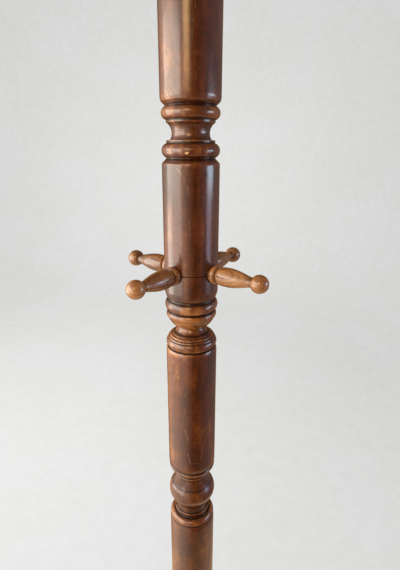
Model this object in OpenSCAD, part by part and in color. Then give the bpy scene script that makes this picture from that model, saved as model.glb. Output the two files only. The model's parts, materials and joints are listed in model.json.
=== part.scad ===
// Standing coat rack: a lathe-turned post in three screwed sections with a finial,
// two rows of four turned pegs and four sawn legs. +Z is up, the floor is z = 0 and
// the post's axis is the Z axis. All sizes are in millimetres.

/* [Post] */
// Height of the lower row of pegs above the floor
lower_row_z = 1290; // [1250:5:1330]
// Height of the upper row of pegs above the lower row
row_spacing = 350; // [330:5:370]
// Radius of the plain cylinders of the post
shaft_r = 35; // [34.5:0.1:36]
// Radius of the cylinder that holds the lower row of pegs
row_shaft_r = 35.3; // [35:0.1:36]
// Radius of the topmost cylinder, a little fuller than the others
crown_shaft_r = 36; // [35.5:0.1:37]
// Height of the joint between the middle and the lower section of the post
lower_joint_z = 600; // [580:5:620]
// Distance from the lower row of pegs down to the joint under it
upper_joint_drop = 108; // [108:1:110]
// Distance from the upper row of pegs up to the end of the topmost cylinder
crown_shaft_rise = 40; // [36:1:44]

/* [Pegs] */
// Distance of the ball's centre from the post's axis
ball_reach = 102; // [98:1:110]
// Radius of the ball at the end of a peg
ball_r = 11.4; // [10.5:0.1:12.5]
// Largest radius of the peg's collar, next to the post
collar_r = 12.2; // [11:0.1:13]
// Largest radius of the peg's swelling body
body_r = 12.2; // [11:0.1:13]
// Radius of the neck behind the ball
neck_r = 6.4; // [5.5:0.1:7.5]
// Radius of the round tenon that is glued into the post
tenon_r = 6; // [5:0.5:7]
// Length of that tenon
tenon_l = 25; // [20:1:25]
// Depth of the flat seat that is cut for the collar
seat_depth = 1.6; // [1:0.1:2]

/* [Legs] */
// Thickness of the board that a leg is sawn from
leg_t = 36; // [30:1:38]
// Distance of the toe's tip from the post's axis
leg_reach = 296; // [280:2:310]
// Distance of a glide's centre from the post's axis
glide_reach = 262; // [256:1:268]
// Radius of a glide
glide_r = 11; // [9:0.5:13]
// Height of a glide, which keeps the wood off the floor
glide_h = 4; // [3:0.5:5]

/* [Hub] */
// Radius of the hub that carries the legs
hub_r = 40; // [39.5:0.5:42]
// Distance of the hub's flats from the post's axis
flat_reach = 34.6; // [34:0.1:35]
// Height of the bottom edge of the flats
flat_z0 = 116; // [114:1:118]
// Height of the top edge of the flats
flat_z1 = 264; // [262:1:266]

/* [Hardware] */
// Radius of the screwed rod that joins two sections
stud_r = 5; // [4:0.5:6]
// Length of that rod
stud_l = 80; // [70:5:90]
// Outer radius of the threaded insert that the rod screws into
insert_r = 8; // [7:0.5:9]
// Length of the insert
insert_l = 25; // [20:1:30]
// Radius of a dowel between hub and leg
dowel_r = 5; // [4:0.5:6]
// Length of a dowel
dowel_l = 50; // [40:2:50]

/* [Hidden] */

$fn = 96;
slack = 0.03;          // glue gap between a tenon, dowel or rod and its hole
arc_steps = 16;        // straight steps that draw one round member
over = 1;              // how far a cutter runs past the face that it opens

// Bearings of the four sides, seen from above
front = -90;
right = 0;
back = 90;
left = 180;
half_turn = 45;        // the upper row stands between the pegs of the lower one

upper_row_z = lower_row_z + row_spacing;
upper_joint_z = lower_row_z - upper_joint_drop;

// The turned members between the two upper cylinders, counted from the lower row of pegs
waist_z0 = lower_row_z + 134;
waist_z1 = waist_z0 + 73;

// The knop in the middle of the middle section
knop_z = upper_joint_z - 251;
knop_r = 35.4;
knop_neck = 30;        // from the knop's middle to its narrow necks

// The crown, above the topmost cylinder
crown_shaft_z = upper_row_z + crown_shaft_rise;
crown_z = crown_shaft_z + 26;
finial_tenon_r = 10;
finial_tenon_l = 25;
finial_ball_r = 30;

// The hub and the turning over it
hub_z0 = 108;
hub_z1 = 272;

seat_reach = row_shaft_r - seat_depth;
dowel_z = [150, 230];
nail_r = 1.2;
nail_l = 14;

// ---- Outlines. Points are [radius, height], from low to high. ----

// Round member that bulges to r_max at z_mid, drawn from z0 to z1 with radius rad
function bulge(z_mid, r_max, rad, z0, z1) = [
    for (i = [0 : arc_steps])
        let (a0 = asin((z0 - z_mid) / rad), a1 = asin((z1 - z_mid) / rad))
            let (a = a0 + (a1 - a0) * i / arc_steps)
                [r_max - rad + rad * cos(a), z_mid + rad * sin(a)]
];

// Hollow member that narrows to r_min at z_mid, drawn from z0 to z1 with radius rad
function hollow(z_mid, r_min, rad, z0, z1) = [
    for (i = [0 : arc_steps])
        let (a0 = asin((z0 - z_mid) / rad), a1 = asin((z1 - z_mid) / rad))
            let (a = a0 + (a1 - a0) * i / arc_steps)
                [r_min + rad - rad * cos(a), z_mid + rad * sin(a)]
];

// Bead between z0 and z1 that rises from r_root to r_max: an arc through its two roots and its crest
function bead(z0, z1, r_root, r_max) =
    let (half = (z1 - z0) / 2, rise = r_max - r_root, rad = (half * half + rise * rise) / (2 * rise))
        bulge((z0 + z1) / 2, r_max, rad, z0, z1);

// Slope from point a to point b, swelling outwards by bow at its middle, or hollowed if bow is negative
function bowed(a, b, bow) =
    let (along = (b - a) / norm(b - a), out = [along[1], -along[0]])
        [for (i = [0 : arc_steps]) let (t = i / arc_steps) a + (b - a) * t + out * bow * sin(180 * t)];

function shifted(points, dz) = [for (p = points) [p[0], p[1] + dz]];

// The same member upside down about height z_mid
function flipped(points, z_mid) = [
    for (i = [len(points) - 1 : -1 : 0]) [points[i][0], 2 * z_mid - points[i][1]]
];

// Shallow scored line that marks the height of a row of pegs on a cylinder of radius r
function score_line(z, r) = [[r, z - 0.9], [r - 1.1, z], [r, z + 0.9]];

// From the joint face at height 0 up to the plain cylinder of radius r: a flat bead, a stepped
// ovolo, a scotia down to the narrow neck, a bowl and a bead
function joint_turning(r) = concat(
    [[r - 2.7, 0]],
    bead(1.2, 12, r - 2.4, r - 0.5),
    [[r - 3.3, 12.6]],
    bowed([r - 2.8, 13.2], [r - 4.7, 15.6], 0.3),
    [[r - 5.2, 15.8]],
    bowed([r - 5, 16.3], [r - 7, 18.4], 0.3),
    [[r - 8.3, 18.7]],
    bowed([r - 8.6, 19.4], [r - 16.8, 28], -1.2),
    [[r - 16.8, 30.6]],
    bowed([r - 12.5, 31.2], [r - 3, 44.6], 0.9),
    bulge(48.4, r - 1.5, 6.5, 44.9, 52.9),
    [[r - 4.2, 53.6]],
    bead(54.6, 69.2, r - 3.3, r + 0.1),
    [[r - 3.6, 69.8]],
    bulge(76.5, r - 1.4, 7, 71, 74.5),
    [[r - 0.7, 77.5], [r, 80.5]]
);

// Rounded end of the cylinder under a joint face at height 0
function joint_shoulder(r) = concat(bulge(-6.4, r, 12.5, -6.4, -0.9), [[r - 2.4, 0]]);

// From the cylinder of radius r0 at height 0 to the one of radius r1 at height 73:
// chamfer, bead, fillet, cove, fillet, bead, chamfer
function waist_turning(r0, r1) = concat(
    [[r0, -0.6], [r0 - 0.4, 0.9], [r0 - 5.8, 6.6]],
    bead(7.2, 23.4, r0 - 5.3, r0 - 0.1),
    [[r0 - 6, 23.5], [r0 - 6, 26.9]],
    hollow(34.8, r0 - 12.5, 13.9, 27.2, 46),
    [[r0 - 6, 46.3], [r0 - 6, 49.5]],
    bead(49.7, 64, r0 - 4.9, r0 - 0.3),
    [[r1 - 6.1, 64.4], [r1 - 0.9, 69.4], [r1, 73]]
);

// Rounded end of the cylinder over the knop, with fillets under it and a fine groove over it;
// height 0 is the narrow neck
function knop_shoulder(r) = concat(
    [[r - 9.6, 0], [r - 9.6, 2.6], [r - 7.8, 3.2], [r - 7.8, 5.2], [r - 8.8, 5.8]],
    [[r - 8.8, 10.6], [r - 7.4, 10.9]],
    bulge(19.3, r - 0.4, 8.2, 11.4, 19.3),
    [[r - 1.2, 20.4]],
    bulge(26, r - 0.4, 9, 21.4, 24),
    [[r - 0.3, 26.5], [r, 28]]
);

// Knop: a full round between two hollow flanks that lead to the necks, centred on height 0
function knop(r) = concat(
    bowed([r - 10, -knop_neck], [r - 5, -14], -0.7),
    bulge(0, r, 22, -13.4, 13.4),
    bowed([r - 5, 14], [r - 10, knop_neck], -0.7)
);

lower_profile = concat(
    [[0, 82]],
    bulge(96, 17, 15.5, 82.4, 103),
    [[20, 103.4], [20, 106.4], [26, 107]],
    [[hub_r - 7, hub_z0], [hub_r, hub_z0 + 6], [hub_r, hub_z1]],
    [[hub_r - 6.5, hub_z1 + 5.5]],
    bead(hub_z1 + 6, hub_z1 + 20, hub_r - 6, hub_r - 1),
    [[30, hub_z1 + 20.4], [30, hub_z1 + 23.6]],
    hollow(hub_z1 + 37, 23.5, 15.5, hub_z1 + 24, hub_z1 + 47),
    [[29, hub_z1 + 47.2], [29, hub_z1 + 50.4]],
    bead(hub_z1 + 50.6, hub_z1 + 64, 30, shaft_r - 0.3),
    [[shaft_r - 5.8, hub_z1 + 64.6], [shaft_r - 0.4, hub_z1 + 70], [shaft_r, hub_z1 + 72]],
    shifted(joint_shoulder(shaft_r), lower_joint_z),
    [[0, lower_joint_z]]
);

middle_profile = concat(
    [[0, lower_joint_z]],
    shifted(joint_turning(shaft_r), lower_joint_z),
    flipped(shifted(knop_shoulder(shaft_r), knop_z + knop_neck), knop_z),
    shifted(knop(knop_r), knop_z),
    shifted(knop_shoulder(shaft_r), knop_z + knop_neck),
    shifted(joint_shoulder(shaft_r), upper_joint_z),
    [[0, upper_joint_z]]
);

upper_profile = concat(
    [[0, upper_joint_z]],
    shifted(joint_turning(row_shaft_r), upper_joint_z),
    score_line(lower_row_z, row_shaft_r),
    shifted(waist_turning(row_shaft_r, crown_shaft_r), waist_z0),
    score_line(upper_row_z, crown_shaft_r),
    [[crown_shaft_r, crown_shaft_z], [crown_shaft_r - 0.5, crown_shaft_z + 1.6]],
    [[crown_shaft_r - 6, crown_shaft_z + 7]],
    bead(crown_shaft_z + 7.6, crown_shaft_z + 22, crown_shaft_r - 5.6, crown_shaft_r - 1),
    [[29, crown_shaft_z + 22.4], [29, crown_z], [0, crown_z]]
);

finial_profile = concat(
    [[0, crown_z - finial_tenon_l], [finial_tenon_r - 1, crown_z - finial_tenon_l]],
    [[finial_tenon_r, crown_z - finial_tenon_l + 1], [finial_tenon_r, crown_z]],
    [[27.6, crown_z], [27.6, crown_z + 2.6]],
    hollow(crown_z + 15.5, 14.5, 13.6, crown_z + 2.9, crown_z + 24),
    [[21, crown_z + 24.2], [21, crown_z + 27.4], [18, crown_z + 27.8]],
    bulge(crown_z + 53.5, finial_ball_r, finial_ball_r, crown_z + 28.5, crown_z + 81),
    [[9.5, crown_z + 81.3], [9.5, crown_z + 84], [6, crown_z + 84.6]],
    bulge(crown_z + 91, 7.6, 7.6, crown_z + 85.3, crown_z + 98.6),
    [[0, crown_z + 98.6]]
);

// A peg's outline, as [radius, distance from the post's axis]: the tenon, the collar with the foot
// that stands in its seat, a groove, a body that swells quickly and thins in a long curve, the ball
collar_l = 7.6;
collar_foot_r = collar_r - 2;
groove_reach = row_shaft_r + collar_l + 0.4;
body_reach = 58;
neck_reach = ball_reach - 11.5;
ball_back = ball_reach - sqrt(ball_r * ball_r - pow(neck_r + 0.2, 2));

peg_profile = concat(
    [[0, seat_reach - tenon_l], [tenon_r - 1, seat_reach - tenon_l]],
    [[tenon_r, seat_reach - tenon_l + 1], [tenon_r, seat_reach], [collar_foot_r, seat_reach]],
    [[collar_foot_r, row_shaft_r - 0.4]],
    bead(row_shaft_r - 0.3, row_shaft_r + collar_l, collar_foot_r, collar_r),
    [[collar_r - 3.4, groove_reach], [collar_r - 3.4, groove_reach + 1.2]],
    [for (i = [0 : 9]) let (u = i / 10) [
        body_r - 2.2 + 2.2 * sin(90 * sqrt(u)),
        groove_reach + 1.4 + (body_reach - groove_reach - 1.4) * u
    ]],
    [for (i = [0 : 20]) let (u = i / 20) [
        neck_r + (body_r - neck_r) * pow(cos(90 * u), 1.2),
        body_reach + (neck_reach - body_reach) * u
    ]],
    bulge(ball_reach, ball_r, ball_r, ball_back, ball_reach),
    [for (i = [1 : arc_steps]) let (a = 90 * i / arc_steps) [ball_r * cos(a), ball_reach + ball_r * sin(a)]]
);

// Point at share t of a cubic curve with end points a, d and handles b, c
function curve_at(a, b, c, d, t) =
    pow(1 - t, 3) * a + 3 * t * pow(1 - t, 2) * b + 3 * t * t * (1 - t) * c + pow(t, 3) * d;
function curve(a, b, c, d, steps) = [for (i = [1 : steps]) curve_at(a, b, c, d, i / steps)];

// A leg's side view, as [distance from the post's axis, height]: the root on the hub's flat, the
// knee, the ankle, the toe, the sole and the arch below
leg_outline = concat(
    [[flat_reach, flat_z1 - 2]],
    curve([flat_reach, flat_z1 - 2], [88, flat_z1 - 2], [112, 236], [142, 184], 14),
    curve([142, 184], [172, 132], [196, 62], [leg_reach - 36, 54], 16),
    curve([leg_reach - 36, 54], [leg_reach - 14, 51], [leg_reach, 42], [leg_reach, 28], 8),
    curve([leg_reach, 28], [leg_reach, 14], [leg_reach - 6, glide_h], [leg_reach - 16, glide_h], 6),
    [[leg_reach - 54, glide_h]],
    curve([leg_reach - 54, glide_h], [204, glide_h], [174, 30], [150, 74], 14),
    curve([150, 74], [126, 118], [100, 140], [72, 132], 12),
    curve([72, 132], [58, 128], [50, flat_z0 + 2], [flat_reach, flat_z0 + 2], 6)
);

// ---- Solids ----

module turned(profile) {
    rotate_extrude() polygon(profile);
}

module four_sides(first) {
    for (i = [0 : 3]) rotate([0, 0, first + 90 * i]) children();
}

// Blind hole and flat seat for one peg, along +X, in a cylinder of radius r
module peg_socket(z, r) {
    hole_reach = r - seat_depth - tenon_l - over;
    translate([hole_reach, 0, z]) rotate([0, 90, 0])
        cylinder(r = tenon_r + slack, h = r + over - hole_reach);
    translate([r - seat_depth, 0, z]) rotate([0, 90, 0])
        cylinder(r = collar_foot_r + slack, h = seat_depth + over);
}

// Bore that holds the upper half of a stud, open at the joint face at height z
module stud_hole(z) {
    translate([0, 0, z - over]) cylinder(r = stud_r + slack, h = stud_l / 2 + 2 + over);
}

// Stepped bore under the joint face at height z: the insert's seat and the room for the stud's end
module insert_hole(z) {
    translate([0, 0, z - insert_l]) cylinder(r = insert_r + slack, h = insert_l + over);
    translate([0, 0, z - stud_l / 2 - 5]) cylinder(r = stud_r + 0.5, h = stud_l / 2 + 5);
}

module leg_seat() {
    translate([flat_reach, -hub_r, flat_z0]) cube([hub_r, 2 * hub_r, flat_z1 - flat_z0]);
    for (z = dowel_z)
        translate([flat_reach - dowel_l / 2 - over, 0, z]) rotate([0, 90, 0])
            cylinder(r = dowel_r + slack, h = dowel_l / 2 + 2 * over);
}

module lower_post() {
    color("saddlebrown") difference() {
        turned(lower_profile);
        insert_hole(lower_joint_z);
        four_sides(0) leg_seat();
    }
}

module middle_post() {
    color("saddlebrown") difference() {
        turned(middle_profile);
        stud_hole(lower_joint_z);
        insert_hole(upper_joint_z);
    }
}

module upper_post() {
    color("saddlebrown") difference() {
        turned(upper_profile);
        stud_hole(upper_joint_z);
        four_sides(0) peg_socket(lower_row_z, row_shaft_r);
        four_sides(half_turn) peg_socket(upper_row_z, crown_shaft_r);
        translate([0, 0, crown_z - finial_tenon_l - over])
            cylinder(r = finial_tenon_r + slack, h = finial_tenon_l + 2 * over);
    }
}

module finial() {
    color("saddlebrown") turned(finial_profile);
}

module joint_stud(z) {
    color("silver") translate([0, 0, z - stud_l / 2]) cylinder(r = stud_r, h = stud_l);
}

module joint_insert(z) {
    color("goldenrod") translate([0, 0, z - insert_l]) difference() {
        cylinder(r = insert_r, h = insert_l);
        translate([0, 0, -over]) cylinder(r = stud_r + slack, h = insert_l + 2 * over);
    }
}

// Peg that stands in a cylinder of radius r
module peg(bearing, z, r) {
    color("peru") translate([0, 0, z]) rotate([0, 90, bearing])
        translate([0, 0, r - row_shaft_r]) turned(peg_profile);
}

module leg(bearing) {
    color("saddlebrown") rotate([0, 0, bearing]) difference() {
        rotate([90, 0, 0]) linear_extrude(height = leg_t, center = true) polygon(leg_outline);
        for (z = dowel_z)
            translate([flat_reach - over, 0, z]) rotate([0, 90, 0])
                cylinder(r = dowel_r + slack, h = dowel_l / 2 + 2 * over);
        translate([glide_reach, 0, glide_h - over]) cylinder(r = nail_r + slack, h = nail_l + 2 * over);
    }
}

module leg_dowels(bearing) {
    color("burlywood") rotate([0, 0, bearing])
        for (z = dowel_z)
            translate([flat_reach - dowel_l / 2, 0, z]) rotate([0, 90, 0])
                cylinder(r = dowel_r, h = dowel_l);
}

module leg_glide(bearing) {
    color("dimgray") rotate([0, 0, bearing]) translate([glide_reach, 0, 0]) rotate_extrude() polygon([
        [0, 0], [glide_r - 1.5, 0], [glide_r, 1.5], [glide_r, glide_h],
        [nail_r, glide_h], [nail_r, glide_h + nail_l - 2], [0, glide_h + nail_l]
    ]);
}

lower_post();
middle_post();
upper_post();
finial();
joint_stud(lower_joint_z);  // lower_joint_stud
joint_insert(lower_joint_z);  // lower_joint_insert
joint_stud(upper_joint_z);  // upper_joint_stud
joint_insert(upper_joint_z);  // upper_joint_insert
peg(front, lower_row_z, row_shaft_r);  // lower_peg_front
peg(right, lower_row_z, row_shaft_r);  // lower_peg_right
peg(back, lower_row_z, row_shaft_r);  // lower_peg_back
peg(left, lower_row_z, row_shaft_r);  // lower_peg_left
peg(front + half_turn, upper_row_z, crown_shaft_r);  // upper_peg_front_right
peg(right + half_turn, upper_row_z, crown_shaft_r);  // upper_peg_back_right
peg(back + half_turn, upper_row_z, crown_shaft_r);  // upper_peg_back_left
peg(left + half_turn, upper_row_z, crown_shaft_r);  // upper_peg_front_left
leg(front);  // leg_front
leg(right);  // leg_right
leg(back);  // leg_back
leg(left);  // leg_left
leg_dowels(front);  // leg_front_dowels
leg_dowels(right);  // leg_right_dowels
leg_dowels(back);  // leg_back_dowels
leg_dowels(left);  // leg_left_dowels
leg_glide(front);  // leg_front_glide
leg_glide(right);  // leg_right_glide
leg_glide(back);  // leg_back_glide
leg_glide(left);  // leg_left_glide
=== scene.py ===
"""Looks of the standing coat rack: turned and sawn hardwood, brown stain under satin lacquer."""

import json
import math
from collections import defaultdict
from functools import reduce

import bmesh
import bpy
import numpy as np
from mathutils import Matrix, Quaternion, Vector, noise


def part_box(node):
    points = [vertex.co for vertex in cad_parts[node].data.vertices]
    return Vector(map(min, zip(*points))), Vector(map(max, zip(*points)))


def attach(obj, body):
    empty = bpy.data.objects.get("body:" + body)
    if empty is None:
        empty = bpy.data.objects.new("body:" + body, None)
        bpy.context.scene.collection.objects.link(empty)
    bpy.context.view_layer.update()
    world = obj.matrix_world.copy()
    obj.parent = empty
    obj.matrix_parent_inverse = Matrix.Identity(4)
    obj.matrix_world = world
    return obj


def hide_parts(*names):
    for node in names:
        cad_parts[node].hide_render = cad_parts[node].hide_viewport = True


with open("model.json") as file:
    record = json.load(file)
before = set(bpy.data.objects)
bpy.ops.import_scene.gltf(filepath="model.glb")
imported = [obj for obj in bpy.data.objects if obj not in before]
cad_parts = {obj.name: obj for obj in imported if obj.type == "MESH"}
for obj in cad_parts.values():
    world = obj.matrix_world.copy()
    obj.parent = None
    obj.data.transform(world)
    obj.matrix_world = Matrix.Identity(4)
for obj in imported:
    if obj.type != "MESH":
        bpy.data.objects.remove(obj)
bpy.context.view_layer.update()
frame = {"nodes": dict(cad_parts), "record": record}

MM = 0.001
UP = Vector((0, 0, 1))

# The lower row of pegs is the middle of the camera's view, and every light is placed around it
row_low, row_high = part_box("lower_peg_front")
row_z = (row_low.z + row_high.z) / 2


# ---- Camera ----

VIEW_AZIMUTH = math.radians(36.7)   # from the front peg towards the right one
TOWARD = Vector((math.sin(VIEW_AZIMUTH), -math.cos(VIEW_AZIMUTH), 0))
RIGHTWARD = Vector((math.cos(VIEW_AZIMUTH), math.sin(VIEW_AZIMUTH), 0))


def direction(azimuth, elevation=0.0):
    """Unit direction from the post, with the azimuth counted in degrees from the camera's side,
    negative to the left."""
    a, e = VIEW_AZIMUTH + math.radians(azimuth), math.radians(elevation)
    return Vector((math.sin(a) * math.cos(e), -math.cos(a) * math.cos(e), math.sin(e)))


def make_camera():
    """Close camera just above the lower row of pegs, looking down on it."""
    distance, aside, above = 0.5107, 0.0116, 0.1489
    pitch, roll = math.radians(18.44), 0.0035
    focal_share = 0.7051            # focal length over the picture's long side
    data = bpy.data.cameras.new("camera")
    data.sensor_width = 36
    data.lens = focal_share * data.sensor_width
    camera = bpy.data.objects.new("camera", data)
    camera.location = TOWARD * distance + RIGHTWARD * aside + UP * (row_z + above)
    look = -TOWARD * math.cos(pitch) - UP * math.sin(pitch)
    turn = look.to_track_quat("-Z", "Y") @ Quaternion((0, 0, 1), roll)
    camera.rotation_euler = turn.to_euler()
    bpy.context.collection.objects.link(camera)
    bpy.context.scene.camera = camera


# ---- Shader nodes ----

class Shader:
    """A material under construction: its node tree and its Principled shader."""

    def __init__(self, name):
        self.material = bpy.data.materials.new(name)
        self.material.use_nodes = True
        self.tree = self.material.node_tree
        self.surface = self.tree.nodes["Principled BSDF"]

    def node(self, kind, inputs=None, output=0, **settings):
        """Adds a node and returns one of its outputs. An input is a value or another node's output."""
        made = self.tree.nodes.new("ShaderNode" + kind)
        for key, value in settings.items():
            setattr(made, key, value)
        for key, value in (inputs or {}).items():
            self.feed(made.inputs[key], value)
        return made.outputs[output]

    def feed(self, socket, value):
        if isinstance(value, bpy.types.NodeSocket):
            self.tree.links.new(value, socket)
        else:
            socket.default_value = value

    def set(self, **values):
        """Sets the Principled shader's sockets: base_color feeds Base Color."""
        for key, value in values.items():
            name = key.replace("_", " ").title().replace("Ior", "IOR")
            self.feed(self.surface.inputs[name], value)

    def attribute(self, name, output="Fac"):
        return self.node("Attribute", output=output, attribute_name=name)

    def math(self, operation, a, b=0.0, clamp=False):
        return self.node("Math", {0: a, 1: b}, operation=operation, use_clamp=clamp)

    def stretch(self, vector, across, along):
        """The vector scaled by across in X and Y, and by along in Z."""
        scale = (across, across, along)
        return self.node("VectorMath", {0: vector, 1: scale}, operation="MULTIPLY")

    def noise(self, vector, detail=3.0, roughness=0.55, output=0):
        inputs = {"Vector": vector, "Scale": 1.0, "Detail": detail, "Roughness": roughness}
        return self.node("TexNoise", inputs, output=output)

    def remap(self, value, low, high, to_low=0.0, to_high=1.0):
        inputs = {"Value": value, "From Min": low, "From Max": high,
                  "To Min": to_low, "To Max": to_high}
        return self.node("MapRange", inputs)

    def mix(self, factor, a, b):
        inputs = {0: factor, 6: a, 7: b}
        return self.node("Mix", inputs, output=2, data_type="RGBA")

    def ramp(self, factor, stops):
        made = self.tree.nodes.new("ShaderNodeValToRGB")
        self.tree.links.new(factor, made.inputs[0])
        elements = made.color_ramp.elements
        while len(elements) < len(stops):
            elements.new(0.5)
        for element, (place, color) in zip(elements, stops):
            element.position = place
            element.color = (*color, 1)
        return made.outputs[0]

    def weighted(self, *pairs):
        """Sum of value * weight over the pairs."""
        total = 0.0
        for value, weight in pairs:
            total = self.node("Math", {0: value, 1: weight, 2: total}, operation="MULTIPLY_ADD")
        return total

    def bump(self, height, distance):
        inputs = {"Height": height, "Distance": distance, "Strength": 1.0}
        return self.node("Bump", inputs)


def mark(s, place, start, end, width):
    """Share of one mark at a place: 1 on the line from start to end, 0 past its width."""
    reach = end - start
    from_start = s.node("VectorMath", {0: place, 1: start}, operation="SUBTRACT")
    inputs = {0: from_start, 1: reach / reach.length_squared}
    along = s.node("VectorMath", inputs, output="Value", operation="DOT_PRODUCT")
    along = s.math("ADD", along, 0.0, clamp=True)
    foot = s.node("VectorMath", {0: reach, "Scale": along}, operation="SCALE")
    gap = s.node("VectorMath", {0: from_start, 1: foot}, output="Value", operation="DISTANCE")
    return s.remap(gap, width, 0.35 * width)


def bare_share(s, place, marks):
    """How much bare wood the marks show at a place, with ragged edges."""
    ragged = s.noise(s.stretch(place, 900, 900), detail=2, output=1)
    ragged = s.node("VectorMath", {0: ragged, 1: (0.5, 0.5, 0.5)}, operation="SUBTRACT")
    ragged = s.node("VectorMath", {0: ragged, "Scale": 0.9 * MM}, operation="SCALE")
    ragged = s.node("VectorMath", {0: place, 1: ragged}, operation="ADD")
    shares = [s.math("MULTIPLY", mark(s, ragged, start, end, width), strength)
              for start, end, width, strength in marks]
    return reduce(lambda a, b: s.math("MAXIMUM", a, b), shares)


def lacquered_wood(name, stops, ring_share, grain_size=1.0, pooling_and_shade=0.93, marks=()):
    """Stained hardwood under lacquer. Stops run from the darkest to the lightest grain, ring_share
    is how much the growth rings count in it, and the pooling argument is how dark a groove gets
    from the stain that pools in it and, on the posts, from painted shade. The mesh carries:
    grain, the place in the wood with the grain along Z; groove, from -1 on a crest to 1 in a
    groove, which on the posts also holds painted shade on the slopes that face up beside a
    groove; tone, how much lighter than usual the wood is there, which on the post's cup and neck
    is partly painted light from below. Marks are scratches and chips of the finish, as (start,
    end, width, strength), placed as grain is."""
    s = Shader(name)
    place = s.attribute("grain", "Vector")
    size = 1 / grain_size

    # Growth rings around a pith that wanders a little
    wander = s.noise(s.stretch(place, 14 * size, 5), detail=2, output=1)
    wander = s.node("VectorMath", {0: wander, 1: (0.5, 0.5, 0.5)}, operation="SUBTRACT")
    wander = s.node("VectorMath", {0: wander, 1: (0.012, 0.012, 0)}, operation="MULTIPLY")
    flat_place = s.node("VectorMath", {0: place, 1: (1, 1, 0)}, operation="MULTIPLY")
    ring_place = s.node("VectorMath", {0: flat_place, 1: wander}, operation="ADD")
    ring_radius = s.node("VectorMath", {0: ring_place}, output="Value", operation="LENGTH")
    ring_count = s.math("MULTIPLY", ring_radius, 420 * size)
    rings = s.node("TexNoise", {"W": ring_count, "Scale": 1.0, "Detail": 1.0},
                   noise_dimensions="1D")

    streaks = s.noise(s.stretch(place, 95 * size, 10), detail=4)
    bands = s.noise(s.stretch(place, 290 * size, 22), detail=3)
    fibres = s.noise(s.stretch(place, 1300, 38), detail=2)
    pores = s.noise(s.stretch(place, 2900, 95), detail=1)
    figure = s.noise(s.stretch(place, 160, 190), detail=3)
    blotches = s.noise(s.stretch(place, 24, 15), detail=3)

    parts = [(streaks, 0.26), (bands, 0.13), (rings, ring_share), (fibres, 0.12),
             (figure, 0.16), (blotches, 0.56)]
    middle = sum(share for _, share in parts) / 2
    contrast = 0.17
    lightness = s.remap(s.weighted(*parts), middle - contrast, middle + contrast)
    # The tone is partly painted light from below on the post's cup and neck
    lightness = s.math("ADD", lightness, s.attribute("tone"), clamp=True)
    color = s.ramp(lightness, stops)

    # Open pores hold more stain
    pore = s.remap(pores, 0.64, 0.74)
    pore_tint = s.math("MULTIPLY", pore, 0.35)
    color = s.mix(pore_tint, color, (0.018, 0.007, 0.004, 1))

    # Stain pools in the grooves, and painted shade darkens the slopes facing up beside them
    groove = s.attribute("groove")
    uneven = s.noise(s.stretch(place, 240, 240), detail=3)
    pooled_and_shaded = s.math("ADD", groove, s.remap(uneven, 0.3, 0.7, -0.12, 0.12))
    pooled_and_shaded = s.remap(pooled_and_shaded, 0.12, 0.7, 0, pooling_and_shade)
    color = s.mix(pooled_and_shaded, color, (0.010, 0.0035, 0.0015, 1))
    # The crests are lighter: partly rubbed, and partly painted light from below
    paler_share = s.math("MULTIPLY", groove, -1.0)
    paler_share = s.math("ADD", paler_share, s.remap(uneven, 0.3, 0.7, -0.25, 0.15))
    paler_share = s.remap(paler_share, 0.1, 1.0, 0, 0.35)
    color = s.mix(paler_share, color, (0.24, 0.085, 0.022, 1))

    # Paler wood in scratches and where the finish is chipped
    if marks:
        color = s.mix(bare_share(s, place, marks), color, (0.62, 0.38, 0.19, 1))

    # Satin lacquer, uneven in places, and duller and thinner in the grooves
    dull = s.noise(s.stretch(place, 60, 22), detail=4)
    roughness = s.remap(dull, 0.3, 0.7, 0.19, 0.28)
    roughness = s.node("Math", {0: pooled_and_shaded, 1: 0.06, 2: roughness}, operation="MULTIPLY_ADD")
    relief = s.weighted((fibres, 0.35), (bands, 0.5), (pore, -0.5), (dull, 1.0))
    s.set(base_color=color, roughness=roughness, ior=1.5, coat_roughness=0.15,
          specular_ior_level=s.remap(pooled_and_shaded, 0, 1, 0.5, 0.25),
          coat_weight=s.remap(pooled_and_shaded, 0, 1, 0.35, 0.05), normal=s.bump(relief, 0.00006))
    return s.material


def bare_wood(name):
    """Unfinished beech with short dark flecks."""
    s = Shader(name)
    place = s.node("TexCoord", output="Object")
    grain = s.noise(s.stretch(place, 900, 900), detail=4)
    flecks = s.remap(s.noise(s.stretch(place, 2600, 2600), detail=1), 0.62, 0.7)
    color = s.ramp(grain, [(0.3, (0.50, 0.31, 0.17)), (0.7, (0.72, 0.50, 0.31))])
    color = s.mix(flecks, color, (0.30, 0.16, 0.08, 1))
    s.set(base_color=color, roughness=s.remap(grain, 0.3, 0.7, 0.55, 0.75),
          normal=s.bump(grain, 0.0001))
    return s.material


def machined_metal(name, color, pitch, roughness):
    """Plated or bare metal with fine thread lines around it and faint handling marks."""
    s = Shader(name)
    place = s.node("TexCoord", output="Object")
    turns = s.node("TexWave", {"Vector": place, "Scale": 0.314 / pitch, "Distortion": 0.0},
                   output=1, wave_type="BANDS", bands_direction="Z", wave_profile="TRI")
    marks = s.noise(s.stretch(place, 500, 500), detail=5, roughness=0.7)
    tint = s.remap(marks, 0.35, 0.7, 0.0, 0.45)
    s.set(base_color=s.mix(tint, (*color, 1), (*[0.55 * c for c in color], 1)),
          metallic=1.0, roughness=s.remap(marks, 0.3, 0.7, roughness, roughness + 0.2),
          normal=s.bump(turns, 0.0004))
    return s.material


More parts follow.
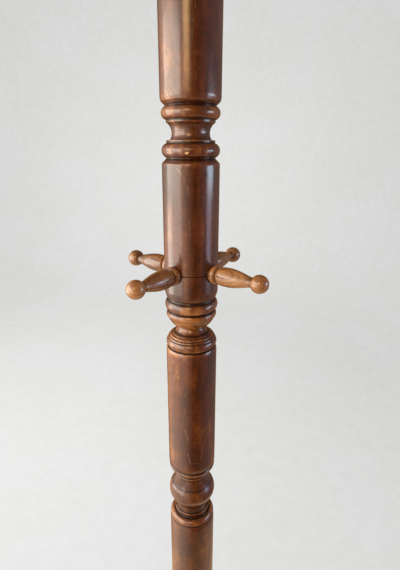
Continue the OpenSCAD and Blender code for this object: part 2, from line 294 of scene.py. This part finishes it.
def moulded_nylon(name):
    """Dark moulded plastic, finely textured and scuffed underneath."""
    s = Shader(name)
    place = s.node("TexCoord", output="Object")
    spark = s.noise(s.stretch(place, 3500, 3500), detail=2)
    scuffs = s.noise(s.stretch(place, 260, 260), detail=5, roughness=0.7)
    paler_share = s.remap(scuffs, 0.5, 0.72)
    color = s.mix(paler_share, (0.020, 0.018, 0.017, 1), (0.085, 0.078, 0.072, 1))
    s.set(base_color=color, roughness=s.remap(scuffs, 0.3, 0.7, 0.42, 0.65),
          normal=s.bump(spark, 0.00008))
    return s.material


# ---- Turned pieces ----

RING_STEP = 0.01 * MM       # rings of a CAD mesh closer than this are one ring
LEAST_BEARINGS = 20         # a full ring has at least this many vertices around it
SHARP = math.radians(16)    # a corner of an outline that turns more than this is an arris
EASE = 0.5 * MM             # sanding takes this much off both sides of an arris
LONGEST_STEP = 2.5 * MM     # between two rings of a turned piece
SWELL = 0.0016              # share by which a turned piece's radius varies
SWELL_LUMPS = 28            # how many such lumps there are in a metre
JOINT_STAIN = 1.6           # stain beside a joint ends this many millimetres away from it


def mesh_points(mesh):
    points = np.empty(len(mesh.vertices) * 3)
    mesh.vertices.foreach_get("co", points)
    return points.reshape(-1, 3)


def side_directions(axis):
    """Two unit directions square to the axis and to each other."""
    first = UP if abs(axis.z) < 0.5 else Vector((1, 0, 0))
    second = axis.cross(first).normalized()
    return second.cross(axis).normalized(), second


def turned_outline(node, base, axis, core):
    """A turned CAD node's outline from end to end, as rows of (distance along its axis, radius).
    Each full ring of its mesh gives one row. Rings inside the core are bores and are left out."""
    mesh = frame["nodes"][node].data
    points = mesh_points(mesh) - np.array(base)
    first, second = side_directions(axis)
    along = points @ np.array(axis)
    u, v = points @ np.array(first), points @ np.array(second)
    places = np.column_stack([along, np.hypot(u, v)])
    keys, ring_of = np.unique(np.round(places / RING_STEP).astype(int), axis=0,
                              return_inverse=True)
    bearings = np.round(np.arctan2(v, u) * 1000).astype(int)
    seen = np.unique(np.column_stack([ring_of.ravel(), bearings]), axis=0)[:, 0]
    full = np.bincount(seen, minlength=len(keys)) >= LEAST_BEARINGS
    rings = keys * RING_STEP
    full &= rings[:, 1] > core

    linked = defaultdict(set)
    ends = np.empty(len(mesh.edges) * 2, int)
    mesh.edges.foreach_get("vertices", ends)
    for a, b in ring_of.ravel()[ends].reshape(-1, 2):
        if a != b and full[a] and full[b]:
            linked[a].add(b)
            linked[b].add(a)

    left = set(np.flatnonzero(full))
    walk = [min(left, key=lambda ring: tuple(rings[ring]))]
    left.remove(walk[0])
    while left:
        here = rings[walk[-1]]
        nearby = (linked[walk[-1]] & left) or left
        walk.append(min(nearby, key=lambda ring: math.dist(rings[ring], here)))
        left.remove(walk[-1])
    start, end = (along.min(), 0.0), (along.max(), 0.0)
    return np.array([start, *rings[walk], end])


def turn_angles(rows):
    """How sharply an outline turns at each of its inner rows, in radians."""
    steps = np.diff(rows, axis=0)
    headings = np.arctan2(steps[:, 1], steps[:, 0])
    turns = np.diff(headings)
    return np.abs((turns + math.pi) % (2 * math.pi) - math.pi)


def eased(rows):
    """The outline with each arris rounded by a short curve."""
    turns = turn_angles(rows)
    made = [rows[0]]
    for before, here, after, turn in zip(rows, rows[1:], rows[2:], turns):
        if turn < SHARP:
            made.append(here)
            continue
        to_before, to_after = before - here, after - here
        start = here + to_before * min(0.42, EASE / np.linalg.norm(to_before))
        end = here + to_after * min(0.42, EASE / np.linalg.norm(to_after))
        for t in np.linspace(0, 1, 6):
            made.append(start * (1 - t) ** 2 + here * 2 * t * (1 - t) + end * t * t)
    return np.array([*made, rows[-1]])


def divided(rows, longest):
    """The outline with steps longer than this divided."""
    made = [rows[0]]
    for a, b in zip(rows, rows[1:]):
        pieces = max(1, math.ceil(math.dist(a, b) / longest))
        made += [a + (b - a) * k / pieces for k in range(1, pieces + 1)]
    return np.array(made)


def sunken(rows, blur):
    """How far each row of an outline lies inside the outline's own softened copy. Blur is how far
    the softening reaches along the outline, as the width of a bell curve."""
    spacing = 0.4 * MM
    lengths = np.concatenate([[0], np.cumsum(np.linalg.norm(np.diff(rows, axis=0), axis=1))])
    even = np.arange(0, lengths[-1], spacing)
    track = np.column_stack([np.interp(even, lengths, rows[:, k]) for k in (0, 1)])
    reach = int(3 * blur / spacing)
    weights = np.exp(-0.5 * (np.arange(-reach, reach + 1) * spacing / blur) ** 2)
    weights /= weights.sum()
    padded = np.pad(track, ((reach, reach), (0, 0)), mode="edge")
    soft = np.column_stack([np.convolve(padded[:, k], weights, "valid") for k in (0, 1)])
    heading = np.gradient(soft, axis=0)
    heading /= np.linalg.norm(heading, axis=1)[:, None] + 1e-12
    outward = np.column_stack([-heading[:, 1], heading[:, 0]])
    return np.interp(lengths, even, ((soft - track) * outward).sum(axis=1))


def groove_depth(rows, upright):
    """For each row of an outline, from -1 on a narrow crest to 1 in a narrow groove. A wide hollow
    counts little. On an upright turning painted shade also darkens the slopes that face up beside
    a groove."""
    depth = sunken(rows, 1.7 * MM) / (0.5 * MM) + sunken(rows, 0.8 * MM) / (0.25 * MM)
    if upright:
        steps = np.gradient(rows, axis=0)
        facing_up = np.clip(-1.4 * steps[:, 1] / np.linalg.norm(steps, axis=1), 0, 1)
        # Painted shade on the slopes that face up beside a groove
        depth += facing_up * np.clip(sunken(rows, 3 * MM) / (0.3 * MM), 0, 1)
    depth = np.clip(depth, -1, 1)
    wide = np.clip(sunken(rows, 12 * MM) / (2.2 * MM) - 0.75, 0, 1)
    return np.where(depth > 0, depth * (1 - 0.9 * wide), depth)


def fullness(rows):
    """For each row of an outline: 1 on a bead, 0 on a plain cylinder, below 0 in a hollow."""
    return np.clip(sunken(rows, 4 * MM) / (-1.5 * MM), -0.35, 1)


def add_attribute(mesh, name, values, kind="FLOAT"):
    made = mesh.attributes.new(name, kind, "POINT")
    field = "vector" if kind == "FLOAT_VECTOR" else "value"
    made.data.foreach_set(field, np.asarray(values, np.float32).ravel())


def new_piece(name, mesh, node, material):
    """Puts a mesh in the scene as the piece that stands for a CAD node."""
    mesh.materials.append(material)
    piece = bpy.data.objects.new(name, mesh)
    bpy.context.collection.objects.link(piece)
    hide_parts(node)
    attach(piece, "root")
    return piece


def turned_piece(node, material, slot, base, axis, segments, pith, core=0.0, tone=0.0,
                 bead_tone=0.0, joints=(), shape=None):
    """Turns a CAD node again on a finer lathe. Tone is a number, or a function of the distances
    along the axis, and bead_tone is added where the outline is full. Stain also pools beside each
    joint, which is a distance along the axis. The shape function cuts into the turning: it takes
    the points' distances, radii and bearings and gives their new radii."""
    rows = divided(eased(turned_outline(node, base, axis, core)), LONGEST_STEP)
    grooves, bead = groove_depth(rows, axis == UP)[1:-1], fullness(rows)[1:-1]
    rows = rows[1:-1]
    for joint in joints:
        beside = np.clip(JOINT_STAIN - np.abs(rows[:, 0] - joint) / MM, 0, 1)
        grooves = np.maximum(grooves, beside)
    first, second = side_directions(axis)
    bearings = np.arange(segments) * 2 * math.pi / segments
    along = np.repeat(rows[:, 0], segments)
    radius = np.repeat(rows[:, 1], segments)
    bearing = np.tile(bearings, len(rows))
    if shape:
        radius = shape(along, radius, bearing)
    u, v = radius * np.cos(bearing), radius * np.sin(bearing)
    uneven = [noise.noise(Vector(p) * SWELL_LUMPS + pith * 9)
              for p in np.column_stack([u, v, along])]
    swell = 1 + SWELL * np.array(uneven)
    u, v = u * swell, v * swell
    points = np.array(base) + np.outer(along, axis) + np.outer(u, first) + np.outer(v, second)

    count = len(rows)
    faces = []
    for ring in range(count - 1):
        for k in range(segments):
            low, high = ring * segments, (ring + 1) * segments
            after = (k + 1) % segments
            faces.append((low + k, low + after, high + after, high + k))
    faces.append(tuple(range(segments))[::-1])
    faces.append(tuple((count - 1) * segments + k for k in range(segments)))
    mesh = bpy.data.meshes.new(node + "_turned")
    mesh.from_pydata(points.tolist(), [], faces)
    mesh.shade_smooth()
    mesh.set_sharp_from_angle(angle=math.radians(27))
    add_attribute(mesh, "grain", np.column_stack([u, v, along]) + np.array(pith),
                  "FLOAT_VECTOR")
    add_attribute(mesh, "groove", np.repeat(grooves, segments))
    tones = tone(rows[:, 0]) if callable(tone) else np.full(count, tone)
    tones = tones + bead_tone * bead
    add_attribute(mesh, "tone", np.repeat(tones, segments))
    mesh.validate()
    return new_piece(node + "_turned", mesh, node, material)


def flatten_hub(along, radius, bearing):
    """Cuts the four flats of the hub that the legs stand on."""
    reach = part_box("leg_right")[0].x
    points = mesh_points(frame["nodes"]["lower_post"].data)
    flat = points[np.abs(points[:, 0] - reach) < RING_STEP]
    low, high = flat[:, 2].min(), flat[:, 2].max()
    from_side = np.abs((bearing + math.pi / 4) % (math.pi / 2) - math.pi / 4)
    cut = (along > low) & (along < high)
    return np.where(cut, np.minimum(radius, reach / np.cos(from_side)), radius)


# Where the pith of the tree lies beside each turning's axis, and how far up the tree it was cut
PITHS = {
    "lower_post": Vector((0.030, 0.012, 0.3)),
    "middle_post": Vector((-0.041, 0.022, 2.9)),
    "upper_post": Vector((0.018, -0.047, 5.7)),
    "finial": Vector((0.024, 0.015, 8.2)),
}


def post_marks():
    """Scratches and a chip in the post, each from one place to another on its surface. A place is
    (degrees from the camera's side, millimetres above the lower row of pegs)."""
    listed = [
        # post, surface radius, start, end, width, strength
        ("upper_post", 34.7, (-8.6, 146.6), (-3.8, 147.3), 1.1, 1.0),
        ("upper_post", 34.7, (-6.4, 145.2), (-5.6, 146.4), 1.0, 1.0),
        ("upper_post", 35.3, (-26.6, 130.3), (-17.5, 122.5), 0.45, 0.38),
        ("upper_post", 35.3, (-20.5, 129.0), (-14.0, 121.0), 0.4, 0.2),
        ("upper_post", 35.3, (-4.4, 110.0), (-4.0, 100.0), 0.4, 0.2),
        ("upper_post", 35.3, (-0.9, 70.0), (-0.5, 52.0), 0.4, 0.2),
        ("upper_post", 36.0, (-55.0, 214.8), (-43.6, 207.1), 0.5, 0.28),
        ("upper_post", 36.0, (-40.8, 212.9), (-35.2, 205.7), 0.5, 0.28),
        ("upper_post", 36.0, (-29.6, 213.4), (-24.8, 208.3), 0.5, 0.24),
        ("middle_post", 35.0, (-17.3, -224.4), (-7.9, -242.3), 0.4, 0.30),
        ("middle_post", 35.0, (-15.6, -193.0), (-14.8, -199.0), 0.45, 0.25),
        ("middle_post", 35.0, (-13.4, -168.0), (-15.0, -173.0), 0.45, 0.22),
        ("middle_post", 35.0, (-9.4, -268.0), (-2.3, -285.0), 0.4, 0.35),
        ("middle_post", 35.0, (30.1, -258.0), (22.2, -279.5), 0.4, 0.30),
        ("middle_post", 35.0, (3.7, -284.5), (15.9, -287.4), 0.4, 0.26),
    ]
    marks = []
    for post, radius, *ends, width, strength in listed:
        places = [direction(azimuth) * radius * MM + UP * (row_z + height * MM) + PITHS[post]
                  for azimuth, height in ends]
        marks.append((*places, width * MM, strength))
    return marks


def upper_post_tone_and_light_below(heights):
    """The neck and the cup under the lower pegs are paler than the rest, which darkens slowly
    above them; their paleness is partly painted light from below. A stop is (millimetres
    above the lower row of pegs, tone)."""
    stops = [(-108, -0.04), (-95, 0.0), (-87, 0.28), (-71, 0.34), (-55, 0.22), (-46, 0.22),
             (-40, 0.03), (-30, -0.03), (20, -0.03), (70, -0.10)]
    places, tones = zip(*stops)
    return np.interp((heights - row_z) / MM, places, tones)


def make_posts(material):
    post = dict(material=material, slot="stained_post", base=Vector((0, 0, 0)), axis=UP)
    # Rings of the mesh inside these radii belong to the bores for rods, inserts and tenons
    bores = {"lower_post": 8.5 * MM, "middle_post": 8.5 * MM, "upper_post": 10.5 * MM}
    shapes = {"lower_post": flatten_hub}
    tones = {"middle_post": 0.06, "upper_post": upper_post_tone_and_light_below}
    joints = [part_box("middle_post")[0].z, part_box("upper_post")[0].z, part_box("upper_post")[1].z]
    for node, pith in PITHS.items():
        turned_piece(node, pith=pith, core=bores.get(node, 0.0), shape=shapes.get(node),
                     tone=tones.get(node, 0.0), segments=144, bead_tone=0.38, joints=joints,
                     **post)


def peg_line(node):
    """Where a peg's axis leaves the post's axis, and its direction."""
    low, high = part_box(node)
    centre = (low + high) / 2
    return Vector((0, 0, centre.z)), Vector((centre.x, centre.y, 0)).normalized()


def body_to_ball(body, ball):
    """A peg's tone along its length: its body and its ball took the stain differently."""
    return lambda along: np.interp(along, [84 * MM, 94 * MM], [body, ball])


def make_pegs(material):
    tones = {
        "lower_peg_front": body_to_ball(-0.03, 0.34),
        "lower_peg_right": body_to_ball(0.20, 0.12),
        "lower_peg_back": body_to_ball(0.08, 0.24),
        "lower_peg_left": body_to_ball(0.06, 0.12),
    }
    plain_tone = 0.08
    pith_distance, turn_per_peg, rise_per_peg = 0.011, 2.4, 0.4
    pegs = sorted(n for n in frame["nodes"] if "_peg_" in n)
    for number, node in enumerate(pegs):
        base, axis = peg_line(node)
        turn = turn_per_peg * number
        pith = Vector((pith_distance * math.cos(turn), pith_distance * math.sin(turn),
                       rise_per_peg * number))
        turned_piece(node, material, "stained_peg", base, axis, segments=72, pith=pith,
                     tone=tones.get(node, plain_tone))


# ---- Sawn legs ----

LEG_ROUNDING = 3.5 * MM
GRAIN_SLOPE = math.radians(-31)     # the board's grain runs down and outwards along the leg


def make_leg(node, material):
    """A leg's CAD board with its long edges rounded over."""
    low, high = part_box(node)
    centre = (low + high) / 2
    outward = Vector((centre.x, centre.y, 0)).normalized()
    sideways = UP.cross(outward)
    board = bmesh.new()
    board.from_mesh(frame["nodes"][node].data)
    bmesh.ops.remove_doubles(board, verts=board.verts, dist=2e-6)
    bmesh.ops.dissolve_limit(board, angle_limit=math.radians(0.6), verts=board.verts,
                             edges=board.edges)

    def is_side(face):
        return abs(face.normal.dot(sideways)) > 0.99

    def is_rounded(edge):
        if len(edge.link_faces) != 2:
            return False
        sides = [is_side(face) for face in edge.link_faces]
        rims = [face for face, side in zip(edge.link_faces, sides) if not side]
        return sum(sides) == 1 and rims[0].normal.dot(outward) > -0.999

    edges = [edge for edge in board.edges if is_rounded(edge)]
    bmesh.ops.bevel(board, geom=edges, offset=LEG_ROUNDING, segments=5, profile=0.5,
                    affect="EDGES", clamp_overlap=True)
    sides = [face for face in board.faces if is_side(face)]
    bmesh.ops.inset_individual(board, faces=sides, thickness=1.5 * MM)
    mesh = bpy.data.meshes.new(node + "_sawn")
    board.to_mesh(mesh)
    board.free()
    mesh.shade_smooth()
    mesh.set_sharp_from_angle(angle=math.radians(34))

    along = outward * math.cos(GRAIN_SLOPE) + UP * math.sin(GRAIN_SLOPE)
    across = sideways.cross(along)
    points = mesh_points(mesh)
    grain = points @ np.column_stack([sideways, across, along])
    # Each leg is cut from another part of a plank, with the pith outside the board
    cut_from = np.array([0.06, 0.09, centre.x + 3 * centre.y])
    add_attribute(mesh, "grain", grain + cut_from, "FLOAT_VECTOR")
    from_middle = np.abs(points @ np.array(sideways))
    edge_share = (from_middle - from_middle.max() + LEG_ROUNDING) / LEG_ROUNDING
    add_attribute(mesh, "groove", np.clip(edge_share, 0, 1) * -0.15)
    add_attribute(mesh, "tone", np.zeros(len(points)))
    piece = new_piece(node + "_sawn", mesh, node, material)
    piece.modifiers.new("even_normals", "WEIGHTED_NORMAL").keep_sharp = True


# ---- Stage and light ----

def make_stage():
    """A pale round studio: floor, cove and wall in one surface, seen by the camera only."""
    wall_r, cove_r, wall_h, around = 5.0, 1.5, 12.0, 96
    profile = [(1.2, 0.0), (wall_r - cove_r, 0.0)]
    profile += [(wall_r - cove_r + cove_r * math.sin(a), cove_r - cove_r * math.cos(a))
                for a in np.linspace(0.1, math.pi / 2, 14)]
    profile.append((wall_r, wall_h))
    points = [(r * math.cos(b), r * math.sin(b), z) for r, z in profile
              for b in np.arange(around) * 2 * math.pi / around]
    faces = [tuple(range(around))]
    for ring in range(len(profile) - 1):
        for k in range(around):
            low, high, after = ring * around, (ring + 1) * around, (k + 1) % around
            faces.append((low + k, high + k, high + after, low + after))
    mesh = bpy.data.meshes.new("studio")
    mesh.from_pydata(points, [], faces)
    mesh.shade_smooth()
    studio = bpy.data.objects.new("studio", mesh)
    bpy.context.collection.objects.link(studio)
    for ray in ("diffuse", "glossy", "shadow", "transmission"):
        setattr(studio, "visible_" + ray, False)
    mesh.materials.append(pale_wall())


def pale_wall():
    """Painted wall and floor that give their own light, with a painted shadow close under the rack."""
    s = Shader("pale_wall")
    place = s.node("TexCoord", output="Object")
    # Light pools on the wall behind the post, and on the floor beyond it to the left
    wall_spot = -TOWARD * 4.9 - RIGHTWARD * 0.2 + UP * 0.9
    floor_spot = -TOWARD * 0.9 - RIGHTWARD * 1.2
    brightness = 0.65
    for spot, reach, gain in ((wall_spot, 3.6, 0.13), (floor_spot, 3.0, 0.20)):
        away = s.node("VectorMath", {0: place, 1: spot}, output="Value", operation="DISTANCE")
        pool = s.node("MapRange", {"Value": away, "From Min": reach, "From Max": 0.0},
                      interpolation_type="SMOOTHSTEP")
        brightness = s.math("ADD", brightness, s.math("MULTIPLY", pool, gain))
    weave = s.noise(s.stretch(place, 16, 16), detail=6, roughness=0.7)
    patches = s.noise(s.stretch(place, 1.4, 1.4), detail=3)
    uneven = s.weighted((weave, 0.11), (patches, 0.07))
    usual = (0.11 + 0.07) / 2
    brightness = s.math("ADD", brightness, s.math("SUBTRACT", uneven, usual))
    hue = s.ramp(patches, [(0.35, (1.0, 1.005, 0.975)), (0.65, (0.985, 1.0, 0.99))])
    # Painted shadow close under the rack
    open_share = s.node("AmbientOcclusion", {"Distance": 0.45}, output=1, samples=8)
    shade = s.math("POWER", open_share, 1.4)
    s.set(base_color=(0.0, 0.0, 0.0, 1), roughness=1.0, specular_ior_level=0.0,
          emission_color=hue, emission_strength=s.math("MULTIPLY", brightness, shade))
    return s.material


def soft_light(name, azimuth, elevation, distance, width, height, radiance, color):
    """A rectangular panel that faces the lower row of pegs, and that the camera doesn't see."""
    data = bpy.data.lights.new(name, "AREA")
    data.shape = "RECTANGLE"
    data.size, data.size_y = width, height
    data.energy = radiance * math.pi * width * height
    data.color = color
    panel = bpy.data.objects.new(name, data)
    towards = direction(azimuth, elevation)
    panel.location = UP * row_z + towards * distance
    panel.rotation_euler = (-towards).to_track_quat("-Z", "Y").to_euler()
    panel.visible_camera = False
    bpy.context.collection.objects.link(panel)


def make_lights():
    """Each panel: azimuth, elevation, distance, width, height, radiance, color."""
    soft_light("window_left", -72, 12.5, 1.4, 1.89, 0.76, 5.1, (1.0, 0.965, 0.85))
    soft_light("window_left_low", -94, -13, 1.35, 0.68, 0.46, 5.3, (1.0, 0.94, 0.86))
    soft_light("sill_left", -57, -12, 1.4, 1.0, 0.42, 2.8, (1.0, 0.94, 0.86))
    soft_light("window_right", 82, 5, 1.6, 0.80, 0.34, 8.5, (0.62, 0.82, 1.0))
    soft_light("window_right_low", 77, -10, 1.6, 0.60, 0.50, 2.3, (0.80, 0.74, 1.0))
    soft_light("ceiling_lamp", -13, 25, 1.6, 0.50, 0.46, 9.0, (1.0, 0.58, 0.24))


def make_world():
    """Dim warm room, brightest towards the left window, and lighter below than in front."""
    world = bpy.data.worlds.new("room")
    world.use_nodes = True
    bpy.context.scene.world = world
    tree = world.node_tree
    place = tree.nodes.new("ShaderNodeTexCoord").outputs["Generated"]

    def along(vector):
        made = tree.nodes.new("ShaderNodeVectorMath")
        made.operation = "DOT_PRODUCT"
        tree.links.new(place, made.inputs[0])
        made.inputs[1].default_value = vector
        return made.outputs["Value"]

    def share(value, low, high):
        made = tree.nodes.new("ShaderNodeMapRange")
        made.interpolation_type = "SMOOTHSTEP"
        tree.links.new(value, made.inputs["Value"])
        made.inputs["From Min"].default_value = low
        made.inputs["From Max"].default_value = high
        return made.outputs[0]

    def mixed(factor, a, b):
        made = tree.nodes.new("ShaderNodeMix")
        made.data_type = "RGBA"
        tree.links.new(factor, made.inputs[0])
        for socket, value in ((made.inputs[6], a), (made.inputs[7], b)):
            if isinstance(value, tuple):
                socket.default_value = (*value, 1)
            else:
                tree.links.new(value, socket)
        return made.outputs[2]

    room = mixed(share(along(direction(-72)), 0.1, 0.9), (0.24, 0.12, 0.05), (2.0, 1.65, 1.35))
    room = mixed(share(along(RIGHTWARD), 0.3, 0.95), room, (0.46, 0.33, 0.32))
    room = mixed(share(along(UP), 0.75, 0.98), room, (0.50, 0.38, 0.26))
    room = mixed(share(along(-UP), 0.65, 1.0), room, (1.1, 0.80, 0.50))
    tree.links.new(room, tree.nodes["Background"].inputs["Color"])


# ---- Everything together ----

DARK_STAIN = [
    (0.0, (0.020, 0.0040, 0.0006)),
    (0.35, (0.046, 0.0090, 0.0010)),
    (0.65, (0.092, 0.0230, 0.0028)),
    (1.0, (0.240, 0.0940, 0.0200)),
]
PALE_STAIN = [
    (0.0, (0.050, 0.0180, 0.0070)),
    (0.35, (0.112, 0.0450, 0.0160)),
    (0.65, (0.205, 0.0920, 0.0320)),
    (1.0, (0.330, 0.1700, 0.0680)),
]


def make_looks():
    post_wood = lacquered_wood("stained_post_wood", DARK_STAIN, ring_share=0.06,
                               marks=post_marks())
    peg_wood = lacquered_wood("stained_peg_wood", PALE_STAIN, ring_share=0.40,
                              grain_size=0.8, pooling_and_shade=0.6)
    leg_wood = lacquered_wood("stained_leg_wood", DARK_STAIN, ring_share=0.12)
    make_posts(post_wood)
    make_pegs(peg_wood)
    for node in sorted(n for n in frame["nodes"] if n.startswith("leg_") and n.count("_") == 1):
        make_leg(node, leg_wood)

    finishes = {
        "zinc_steel": machined_metal("zinc_plated_rod", (0.62, 0.63, 0.64), 1.5 * MM, 0.28),
        "insert_brass": machined_metal("brass_insert", (0.72, 0.56, 0.27), 2.0 * MM, 0.30),
        "bare_beech": bare_wood("beech_dowel"),
        "glide_nylon": moulded_nylon("nylon_glide"),
    }
    for row in frame["record"]["subparts"]:
        if row["material_slot"] in finishes:
            frame["nodes"][row["node"]].material_slots[0].material = finishes[row["material_slot"]]


make_camera()
make_looks()
make_stage()
make_lights()
make_world()
bpy.context.scene.view_settings.view_transform = "Standard"
